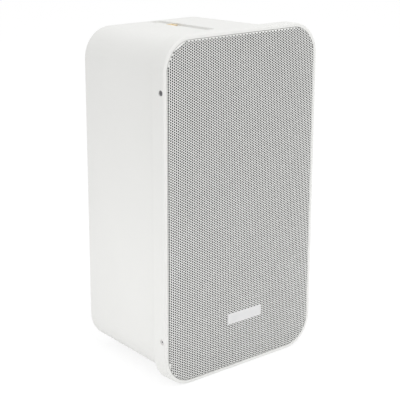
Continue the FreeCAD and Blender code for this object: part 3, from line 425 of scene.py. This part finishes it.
def holeCells():  # the number of each hole by column and row, and the centres
    across = pan["pitch"] * math.sqrt(3) / 2
    cells, centres = {}, []
    for i in range(-pan["columns"], pan["columns"] + 1):
        x = pan["startX"] + i * across
        x += pan["stretch"] * (x / flatX) ** pan["stretchPower"] * np.sign(x)  # drawn out at the sides
        for j in range(-pan["rows"], pan["rows"] + 1):
            c = (x, pan["startZ"] + (j + (i % 2) / 2) * pan["pitch"])
            if edgeDistance(np.array([c]))[0][0] < pan["holesOnRoll"]:
                cells[i, j] = len(centres)
                centres.append(c)
    return cells, np.array(centres)


def webFaces(cells):  # the sheet between the holes, each face with its column
    faces, owner = [], []

    def near(i, j, k):  # the neighbour that faces side k of a hole
        odd = i % 2
        step = [(1, odd), (0, 1), (-1, odd), (-1, odd - 1), (0, -1), (1, odd - 1)][k]
        return cells.get((i + step[0], j + step[1]))

    for (i, j), a in cells.items():
        links = [near(i, j, k) for k in range(6)]
        found = [[6 * a + k, 6 * b + (k + 4) % 6, 6 * b + k + 3, 6 * a + k + 1]
                 for k, b in enumerate(links[:3]) if b is not None]
        if links[0] is not None and links[5] is not None:
            found.append([6 * a, 6 * links[5] + 2, 6 * links[0] + 4])
        if links[0] is not None and links[1] is not None:
            found.append([6 * a + 1, 6 * links[0] + 3, 6 * links[1] + 5])
        faces += found
        owner += [i] * len(found)
    return faces, owner


def marginFaces(front, faces, outer):  # the plain margin between the outermost holes and the rolled edge
    used = {}
    for face in faces:
        for k, v in enumerate(face):
            e = tuple(sorted((v, face[k - 1])))
            used[e] = used.get(e, 0) + 1
    openEdges = [e for e, n in used.items() if n == 1]
    loopVerts = sorted({v for e in openEdges for v in e})
    local = {v: n for n, v in enumerate(loopVerts)}
    base = len(loopVerts)
    points = np.vstack([front[loopVerts], outer])
    edges = [(local[a], local[b]) for a, b in openEdges]
    edges += [(base + k, base + (k + 1) % len(outer)) for k in range(len(outer))]
    spots, _, tris, origins, _, _ = delaunay_2d_cdt([Vector(p) for p in points], edges, [], 0, pan["snap"])
    tris = np.array(tris)
    mids = np.array([[sum(spots[v][axis] for v in t) / 3 for axis in (0, 1)] for t in tris])
    crossings = np.zeros(len(mids), int)
    for a, b in openEdges:  # how often a line to the right crosses the lattice's edge
        (x0, z0), (x1, z1) = front[a], front[b]
        hit = (z0 > mids[:, 1]) != (z1 > mids[:, 1])
        if z0 != z1:
            crossings += hit & (mids[:, 0] < (x1 - x0) * (mids[:, 1] - z0) / (z1 - z0) + x0)
    keep = (crossings % 2 == 0) & (edgeDistance(mids)[0] < pan["edgeAt"])
    index = [loopVerts[o[0]] if o[0] < base else len(front) + o[0] - base for o in origins]
    found, owner = [], []
    for t in tris[keep]:
        ids = [index[v] for v in t]
        (x0, z0), (x1, z1), (x2, z2) = [spots[v] for v in t]
        if (x1 - x0) * (z2 - z0) - (z1 - z0) * (x2 - x0) < 0:
            ids.reverse()
        found.append(ids)
        owner.append(halfOf(x0, x1, x2))
    return found, owner


def flatMap(obj, flat, usedVerts):  # the front laid flat, with the sheet's back beside it
    total = len(flat)
    at = []
    for v in usedVerts:
        x, z = flat[v % total]
        shift = bakeMap["back"] if v >= total else 0
        at.append((bakeMap["left"] + bakeMap["wide"] * (x / panWide + 0.5) + shift,
                   bakeMap["low"] + bakeMap["tall"] * (z / panTall + 0.5)))
    uv = obj.data.uv_layers.new(name="OFBake")
    loops = np.zeros(len(obj.data.loops), int)
    obj.data.loops.foreach_get("vertex_index", loops)
    uv.uv.foreach_set("vector", np.clip(np.array(at)[loops], 0, 1).astype(np.float32).ravel())


def buildGrille():
    cells, centres = holeCells()
    # six-sided holes with the area of round ones
    hexReach = pan["hole"] / 2 * math.sqrt(2 * math.pi / (3 * math.sqrt(3)))
    rim = np.array([(math.cos(k * math.pi / 3), math.sin(k * math.pi / 3)) for k in range(6)]) * hexReach
    front = (centres[:, None, :] + rim[None]).reshape(-1, 2)
    flatFaces, owner = webFaces(cells)
    holeFaces = [[6 * a + k for k in range(6)] for a in range(len(centres))]
    outer = outlineAt(pan["edgeAt"])
    margin, marginOwner = marginFaces(front, flatFaces + holeFaces, outer)
    flatFaces += margin
    owner += marginOwner

    # rings round the roll and back along the flange
    flat = np.vstack([front, outer])
    ringStart = [len(front)]
    panEnd = rollArc + panBack - lipY - pan["crown"] - pan["bow"] - pan["roll"]
    for away in ((pan["edgeAt"] + rollArc) / 2, rollArc, panEnd):
        ringStart.append(len(flat))
        flat = np.vstack([flat, pushedOut(outer, away)])
    count = len(outer)
    for s0, s1 in zip(ringStart, ringStart[1:]):
        for k in range(count):
            n = (k + 1) % count
            flatFaces.append([s0 + k, s1 + k, s1 + n, s0 + n])
            owner.append(halfOf(flat[s0 + k][0], flat[s0 + n][0]))
    last, total = ringStart[-1], len(flat)
    face, inner = rollSheet(flat, 0.0), rollSheet(flat, pan["sheet"])
    for layer in (face, inner):
        layer[last:, 1] = panBack * mm  # the pan ends in one plane on the baffle
    verts = np.vstack([face, inner])

    faceCount = 0
    for side, wanted in (("left", lambda i: i < 0), ("right", lambda i: i >= 0)):
        faces = []
        for f, o in zip(flatFaces, owner):
            if wanted(o):
                faces += [f, *turnedOver([f], total)]
        sheetFaces = len(faces)
        for (i, _), a in cells.items():
            if wanted(i):
                for k in range(6):
                    v, w = 6 * a + k, 6 * a + (k + 1) % 6
                    faces.append([w, v, v + total, w + total])
        wallFaces = len(faces) - sheetFaces
        for k in range(count):
            n = (k + 1) % count
            if wanted(halfOf(flat[last + k][0], flat[last + n][0])):
                faces.append([last + k, last + k + total, last + n + total, last + n])
        # the hole walls take the dark grey finish, painted shade inside the holes
        faceMats = [0] * sheetFaces + [1] * wallFaces + [0] * (len(faces) - sheetFaces - wallFaces)
        usedVerts = sorted({v for f in faces for v in f})
        renumber = {v: n for n, v in enumerate(usedVerts)}
        obj = addPiece("grille_" + side, verts[usedVerts], [[renumber[v] for v in f] for f in faces],
                       "cabinet", [finishOf("whiteCoat"), finishOf("holeWallPaintedShade")], faceMats,
                       stands=["grille"])
        flatMap(obj, flat, usedVerts)
        faceCount += len(obj.data.polygons)
    print("grille", len(centres), "holes,", faceCount, "faces")


buildGrille()


# cloth stretched behind the holes

cloth = dict(gap=0.06, thick=0.25, inset=2.2, step=4.0)


def buildCloth():
    inset = cloth["inset"]
    halfX, halfZ, corner = panWide / 2 - inset, panTall / 2 - inset, pan["corner"] - inset
    nx, nz = int(2 * halfX / cloth["step"]), int(2 * halfZ / cloth["step"])
    rows = []
    for r in range(nz + 1):
        z = -halfZ + 2 * halfZ * r / nz
        over = max(abs(z) - (halfZ - corner), 0)
        wide = halfX - corner + math.sqrt(max(corner ** 2 - over ** 2, 0))
        rows.append([(wide * (2 * c / nx - 1), z) for c in range(nx + 1)])
    flat = np.array(rows).reshape(-1, 2)
    depth = lipY + bowAt(flat[:, 0]) + pan["sheet"] + cloth["gap"]
    front = np.stack([flat[:, 0], depth, panMid + flat[:, 1]], 1) * mm
    back = front + np.array([0, cloth["thick"] * mm, 0])
    n, total = nx + 1, len(flat)
    quads = gridQuads(nx, nz)
    rim = list(range(n)) + [r * n + nx for r in range(1, nz + 1)]
    rim += [nz * n + c for c in range(nx - 1, -1, -1)] + [r * n for r in range(nz - 1, 0, -1)]
    edge = [[rim[k], rim[k - 1], rim[k - 1] + total, rim[k] + total] for k in range(len(rim))]
    obj = addPiece("acoustic_cloth", np.vstack([front, back]), quads + turnedOver(quads, total) + edge,
                   "cabinet", [finishOf("blackCloth")], smooth=True, stands=["grille_cloth"])
    sharpen(obj)


buildCloth()
print("cloth stretched")


# small plate on the grille: a raised border round a plain field, on a dark tape whose black is also painted
# shade under the plate's rim

plate = dict(corner=0.7, leastCorner=0.08, steps=5, crease=20,
             rows=[(0.6, 0.42), (0.6, 0.56), (0.0, 0.58), (0.0, 0.74), (0.10, 0.85), (0.28, 0.90),
                   (0.95, 0.90), (1.10, 0.87), (1.25, 0.78)])  # inset and rise, mm


def buildPlate():
    low, high = boxOf("badge_plate")
    midX, midZ = (low.x + high.x) / 2, (low.z + high.z) / 2
    loops = []
    for inset, rise in plate["rows"]:
        outline = cornerLoop((high.x - low.x) / 2 - inset, (high.z - low.z) / 2 - inset,
                             max(plate["corner"] - inset, plate["leastCorner"]), plate["steps"])
        loops.append([Vector((midX + x, high.y - rise, midZ + z)) * mm for x, z in outline])
    verts, faces = capped(loops)
    n = len(loops[0])
    mats = [1] * n + [0] * (len(faces) - n)  # the first row is the tape, its black also painted shade under the plate's rim
    obj = addPiece("name_plate", verts, faces, "cabinet",
                   [finishOf("badgeMetal"), finishOf("blackFoam")], mats, stands=["badge_plate"])
    sharpen(obj, plate["crease"])


buildPlate()


# cross-head screws: two in each side of the frame, four round the terminals

sideScrew = dict(rise=99.0, inset=3.6, proud=1.0, radius=2.04, shank=1.3, length=6.9, upper=(0.34, 0.5),
                 lower=(0.62, 0.55), turn=(20, 27))
rearScrew = dict(right=27.0, up=20.0, proud=1.4, radius=2.5, height=1.38, deep=0.9, shank=1.3, length=5.9,
                 turn=(12, 31))


def buildSideScrews():
    seat = boxOf("side_screws")[1].x - sideScrew["proud"]
    first, step = sideScrew["turn"]
    parts, mats = [], []
    for k, (side, level) in enumerate([(-1, "upper"), (-1, "lower"), (1, "upper"), (1, "lower")]):
        height, deep = sideScrew[level]
        verts, faces = crossScrew(sideScrew["radius"], height, deep, sideScrew["shank"],
                                  sideScrew["length"])
        up = sideScrew["rise"] if level == "upper" else -sideScrew["rise"]
        spot = (side * seat, lipY + sideScrew["inset"], panMid + up)
        parts.append((placed(verts, spot, (side, 0, 0), first + step * k), faces))
        recess = crossHead["recessBands"] * len(faces) // crossHead["bands"]
        # upper screws take the dark copy all over, painted shade; lower screws take the pale copy, painted
        # reflection, with painted shade in their cross recess
        mats += [0 if level == "upper" else 1] * (len(faces) - recess) + [0] * recess
    verts, faces = joined(parts)
    obj = addPiece("grille_screws", verts, faces, "cabinet",
                   [finishOf("screwPaintedShade"), finishOf("screwPaintedReflection")], mats, stands=["side_screws"])
    sharpen(obj)


def buildRearScrews():
    low, high = boxOf("terminal_screws")
    seat, mid = high.y - rearScrew["proud"], (low.z + high.z) / 2
    first, step = rearScrew["turn"]
    verts, faces = crossScrew(*[rearScrew[key] for key in ("radius", "height", "deep", "shank", "length")])
    parts = []
    for k, (x, z) in enumerate([(-1, -1), (1, -1), (1, 1), (-1, 1)]):
        spot = (x * rearScrew["right"], seat, mid + z * rearScrew["up"])
        parts.append((placed(verts, spot, (0, 1, 0), first + step * k), faces))
    verts, faces = joined(parts)
    obj = addPiece("rear_screws", verts, faces, "cabinet", [finishOf("zincScrew")],
                   stands=["terminal_screws"])
    sharpen(obj)


buildSideScrews()
buildRearScrews()
print("plate and screws made")


# brass inserts for the bracket, with their thread

insert = dict(body=4.0, collar=4.8, core=2.1, root=2.42, pitch=0.8, length=12.0, rise=1.2, bevel=0.3,
              clear=0.1, mouth=0.35, lead=0.5, runOut=0.6)
groove = dict(count=4, start=-8.5, step=2.0, deep=0.35, slope=0.25, wide=1.0)


def buildInsert(name, node, way):
    low, high = boxOf(node)
    body, collar, bevel, length = [insert[key] for key in ("body", "collar", "bevel", "length")]
    core, root, top = insert["core"], insert["root"], insert["rise"]
    profile = [(core + insert["clear"], -length), (body - bevel, -length), (body, bevel - length)]
    bed, slope, wide = body - groove["deep"], groove["slope"], groove["wide"]
    for k in range(groove["count"]):  # grooves that grip the plastic
        z = groove["start"] + groove["step"] * k
        profile += [(body, z), (bed, z + slope), (bed, z + wide - slope), (body, z + wide)]
    profile += [(body, 0), (collar, 0), (collar, top - bevel), (collar - bevel, top),
                (root + insert["mouth"], top), (root, top - bevel)]
    z = top - insert["lead"]
    while z > insert["runOut"] - length:  # thread, ring by ring
        profile += [(core, z), (root, z - insert["pitch"] / 2)]
        z -= insert["pitch"]
    verts, faces = lathe(profile, closed=True)
    seat = (high.z if way > 0 else low.z) - way * top
    spot = ((low.x + high.x) / 2, (low.y + high.y) / 2, seat)
    obj = addPiece(name, placed(verts, spot, (0, 0, way)), faces, "cabinet",
                   [finishOf("brass")], stands=[node])
    sharpen(obj)


buildInsert("upper_thread", "upper_insert", 1)
buildInsert("lower_thread", "lower_insert", -1)


# binding posts: brass studs with fluted knobs

post = dict(apart=19.0, rise=9.0, stud=2.0, tail=9.0, bevel=0.3, steps=96, knob=4.5,
            knobFoot=[(3.5, 0), (3.5, 0.8)],
            knobRows=[(-0.45, 1.0), (0, 1.35, 0.32), (0, 8.1, 0.32), (-0.4, 8.55), (-0.7, 8.9)],
            socket=[(2.5, 8.9), (2.1, 8.5), (2.1, 3.0), (0, 3.0)])  # rows of radius, height and flute


def buildPosts():
    low, high = boxOf("terminal_posts")
    seat, mid = high.y - post["rise"], (low.z + high.z) / 2
    stud, tail, bevel = post["stud"], post["tail"], post["bevel"]
    profile = [(0, -tail), (stud - bevel, -tail), (stud, bevel - tail), (stud, 0)] + post["knobFoot"]
    profile += [(post["knob"] + out, *rest) for out, *rest in post["knobRows"]] + post["socket"]
    kinds = [2, 2, 2] + [None] * 9 + [2, 2]  # brass stud, knob, brass socket
    verts, faces = lathe(profile, post["steps"])
    parts, mats = [], []
    for k, side in enumerate((-1, 1)):
        parts.append((placed(verts, (side * post["apart"] / 2, seat, mid), (0, 1, 0)), faces))
        mats += [k if kind is None else kind for kind in kinds for _ in range(post["steps"])]
    verts, faces = joined(parts)
    obj = addPiece("binding_posts", verts, faces, "cabinet",
                   [finishOf("blackPlastic"), finishOf("redKnob"), finishOf("brass")], mats,
                   stands=["terminal_posts"])
    sharpen(obj)


buildPosts()
print("inserts and posts made")


# the woofer's spider and surround, in sectors between the basket and the cone

spider = dict(inner=10.9, rim=5.0, wall=0.6, wave=1.2, waves=4, steps=8, flex=(31.0, 13.0))
surround = dict(lip=3.0, rim=4.8, roll=4.0, wall=0.6, steps=12, flex=(50.4, 43.6))
flexRing = dict(sectors=16, turns=4)


def spiderProfile():  # (radius, y) round the section, mm
    low, high = boxOf("woofer_spider")
    wall, outer = spider["wall"], high.x
    start, stop = spider["inner"] + 3 * wall, outer - spider["rim"]
    count = spider["waves"] * spider["steps"]
    rows = [(spider["inner"], 0)]
    for k in range(count + 1):
        lift = spider["wave"] * (0.5 - 0.5 * math.cos(2 * math.pi * k / spider["steps"]))
        rows.append((start + (stop - start) * k / count, lift))
    rows.append((outer, 0))
    front = [(r, high.y - wall - lift) for r, lift in rows]
    return front + [(r, high.y - lift) for r, lift in reversed(rows)]


def surroundProfile():
    low, high = boxOf("woofer_surround")
    roll, wall, outer = surround["roll"], surround["wall"], high.x
    face, middle = low.y + roll, outer - surround["rim"] - roll
    back, inner = face + wall, middle - roll - surround["lip"]

    def bow(radius):
        turns = [math.pi * k / surround["steps"] for k in range(surround["steps"] + 1)]
        return [(middle - radius * math.cos(t), face - radius * math.sin(t)) for t in turns]

    under = bow(roll - wall)[::-1]
    return ([(inner, face)] + bow(roll) + [(outer, face), (outer, back), (under[0][0], back)] + under
            + [(under[-1][0], back), (inner, back)])


def buildFlexRing(name, node, profile, look):
    low, high = boxOf(node)
    mid = (low + high) / 2

    def outward(share):
        t = 2 * math.pi * share / flexRing["sectors"]
        return Vector((math.cos(t), 0, math.sin(t)))

    for k in range(flexRing["sectors"]):
        loops = []
        for s in range(flexRing["turns"] + 1):
            out = outward(k + s / flexRing["turns"])
            loops.append([Vector((mid.x + r * out.x, y, mid.z + r * out.z)) * mm for r, y in profile])
        verts, faces = capped(loops)
        obj = addPiece(f"{name}_{k + 1:02d}", verts, faces, None, [finishOf(look)], stands=[node])
        sharpen(obj)
        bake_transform(obj)


buildFlexRing("spider_sector", "woofer_spider", spiderProfile(),
              "spiderCotton")
buildFlexRing("surround_sector", "woofer_surround", surroundProfile(),
              "rubber")
print("suspension made")


# damping wadding on the tub's rear wall, and the foam strip between frame and tub

wadding = dict(across=56, up=28, pull=1.6, dimple=0.35, edgePower=8, swell=(0.80, 0.17),
               tufts=(0.43, 0.21, 0.37, 0.13), weld=1e-6, crease=60)
strip = dict(corner=25.0, wide=3.0, steps=14, crease=60,
             section=[(-1.0, 0.0), (-0.84, 0.8), (-0.5, 1.0), (0.5, 1.0), (0.84, 0.8),
                      (1.0, 0.0), (0.84, -0.8), (0.5, -1.0), (-0.5, -1.0), (-0.84, -0.8)])


def buildWadding():
    low, high = boxOf("damping_pad")
    mid, half = (low + high) / 2, (high - low) / 2
    nx, nz = wadding["across"], wadding["up"]
    power, pull = wadding["edgePower"], wadding["pull"]
    rim, crown = wadding["swell"]
    a, b, c, d = wadding["tufts"]
    front, back = [], []
    for j in range(nz + 1):
        for i in range(nx + 1):
            u, v = 2 * i / nx - 1, 2 * j / nz - 1
            x = mid.x + u * (half.x - pull * (1 - v * v))
            z = mid.z + v * (half.z - pull * (1 - u * u))
            swell = math.sqrt(max((1 - u ** power) * (1 - v ** power), 0))
            swell *= rim + crown * (1 - u * u) * (1 - v * v)
            tuft = wadding["dimple"] * math.sin(x * a + z * b) * math.sin(z * c - x * d)
            thick = max(2 * half.y * swell + tuft * swell, 0)
            front.append(Vector((x, high.y - thick, z)) * mm)
            back.append(Vector((x, high.y, z)) * mm)
    quads = gridQuads(nx, nz)
    obj = addPiece("damping_wadding", front + back, quads + turnedOver(quads, len(front)), "cabinet",
                   [finishOf("padFibre")], smooth=True, stands=["damping_pad"])
    bm = bmesh.new()
    bm.from_mesh(obj.data)
    bmesh.ops.remove_doubles(bm, verts=bm.verts, dist=wadding["weld"])  # front and back meet at the rim
    bm.to_mesh(obj.data)
    bm.free()
    sharpen(obj, wadding["crease"])


def buildStrip():
    low, high = boxOf("cabinet_gasket")
    midY, thick, halfWide = (low.y + high.y) / 2, (high.y - low.y) / 2, strip["wide"] / 2
    midZ, halfZ = (low.z + high.z) / 2, (high.z - low.z) / 2
    loops = []
    for out, along in strip["section"]:
        shift = out * halfWide - halfWide
        outline = cornerLoop(high.x + shift, halfZ + shift, strip["corner"] + shift, strip["steps"])
        loops.append([Vector((x, midY + along * thick, midZ + z)) * mm for x, z in outline])
    verts, faces = skin(loops, closed=True)
    obj = addPiece("foam_strip", verts, faces, "cabinet", [finishOf("blackFoam")],
                   stands=["cabinet_gasket"])
    sharpen(obj, strip["crease"])


buildWadding()
buildStrip()
print("wadding and strip made")


# finishes of the CAD nodes that stay

wear = {
    "front_frame": "whitePlastic", "rear_cabinet": "whitePlastic", "cabinet_screws": "zincScrew",
    "woofer_gasket": "blackFoam", "woofer_basket": "blackEnamel", "woofer_top_plate": "platedSteel",
    "woofer_magnet": "ferrite", "woofer_yoke": "platedSteel", "woofer_cone": "conePaper",
    "woofer_dust_cap": "conePaper", "woofer_coil": "coilFoil", "woofer_screws": "zincScrew",
    "tweeter_plate": "blackPlastic", "tweeter_dome": "domeSilk", "tweeter_surround": "domeSilk",
    "tweeter_top_plate": "platedSteel", "tweeter_magnet": "ferrite", "tweeter_yoke": "platedSteel",
    "tweeter_screws": "zincScrew", "crossover_board": "laminate", "crossover_inductor": "copperWire",
    "crossover_capacitor": "blueSleeve", "crossover_resistor": "ceramic", "board_screws": "zincScrew",
    "terminal_cup": "blackPlastic",
}
for name, look in wear.items():
    mesh = nodes[name].data
    for k in range(len(mesh.materials)):
        mesh.materials[k] = finishOf(look)
print("finishes on", len(wear), "nodes")


# studio: pale floor, white surround, soft lamps

studio = dict(around=0.76, seen=1.0, floor=0.93, glow=0.84, floorShare=0.20, reach=6, sink=0.0003,
              aim=(0, 0, 0.14))


def grey(value):
    return (value, value, value, 1)


def seenDirectly(nt):  # 1 for camera, mirror and glass rays
    path = nt.nodes.new("ShaderNodeLightPath")
    ray = path.outputs["Is Camera Ray"]
    for other in ("Is Glossy Ray", "Is Transmission Ray"):
        either = nt.nodes.new("ShaderNodeMath")
        either.operation = "MAXIMUM"
        nt.links.new(ray, either.inputs[0])
        nt.links.new(path.outputs[other], either.inputs[1])
        ray = either.outputs[0]
    return ray


def pickBySight(nt, lighting, direct, output):  # one shader for light that bounces, one for what is seen
    pick = nt.nodes.new("ShaderNodeMixShader")
    nt.links.new(seenDirectly(nt), pick.inputs[0])
    nt.links.new(lighting.outputs[0], pick.inputs[1])
    nt.links.new(direct.outputs[0], pick.inputs[2])
    nt.links.new(pick.outputs[0], nt.nodes[output].inputs["Surface"])


world = bpy.data.worlds.new("studioWhite")
scene.world = world
world.use_nodes = True
wt = world.node_tree
lit = wt.nodes["Background"]
seen = wt.nodes.new("ShaderNodeBackground")
for shader, strength in ((lit, studio["around"]), (seen, studio["seen"])):
    shader.inputs["Color"].default_value = grey(1)
    shader.inputs["Strength"].default_value = strength
pickBySight(wt, lit, seen, "World Output")

floorMat = bpy.data.materials.new("paleFloor")
floorMat.use_nodes = True
ft = floorMat.node_tree
ft.nodes.remove(ft.nodes["Principled BSDF"])
matte = ft.nodes.new("ShaderNodeBsdfDiffuse")
matte.inputs["Color"].default_value = grey(studio["floor"])
faint = ft.nodes.new("ShaderNodeBsdfDiffuse")
faint.inputs["Color"].default_value = grey(studio["floorShare"])
glow = ft.nodes.new("ShaderNodeEmission")
glow.inputs["Strength"].default_value = studio["glow"]
both = ft.nodes.new("ShaderNodeAddShader")
ft.links.new(faint.outputs[0], both.inputs[0])
ft.links.new(glow.outputs[0], both.inputs[1])
pickBySight(ft, matte, both, "Material Output")

floorMesh = bpy.data.meshes.new("studio_floor")
edge, under = studio["reach"], -studio["sink"]
corners = [(-edge, -edge, under), (edge, -edge, under), (edge, edge, under), (-edge, edge, under)]
floorMesh.from_pydata(corners, [], [(0, 1, 2, 3)])
floorMesh.materials.append(floorMat)
floor = bpy.data.objects.new("studio_floor", floorMesh)
scene.collection.objects.link(floor)

lamps = {
    "overhead": dict(place=(-0.1, -0.5, 1.9), size=1.6, power=9.8),
    "front": dict(place=(0.5, -2.0, 0.9), size=1.4, power=4.6),
    "leftLow": dict(place=(-0.28, 0.0, 0.05), size=0.08, power=0.075),
    "frontLow": dict(place=(0.03, -0.27, 0.015), size=0.08, power=0.075),
}
for name, lamp in lamps.items():
    data = bpy.data.lights.new(name, "AREA")
    data.energy = lamp["power"]
    data.size = lamp["size"]
    obj = bpy.data.objects.new(name, data)
    obj.location = lamp["place"]
    obj.visible_camera = False
    obj.rotation_mode = "QUATERNION"
    toward = Vector(studio["aim"]) - Vector(lamp["place"])
    obj.rotation_quaternion = toward.to_track_quat("-Z", "Y")
    scene.collection.objects.link(obj)
scene.view_settings.view_transform = "Standard"
print("studio lit")
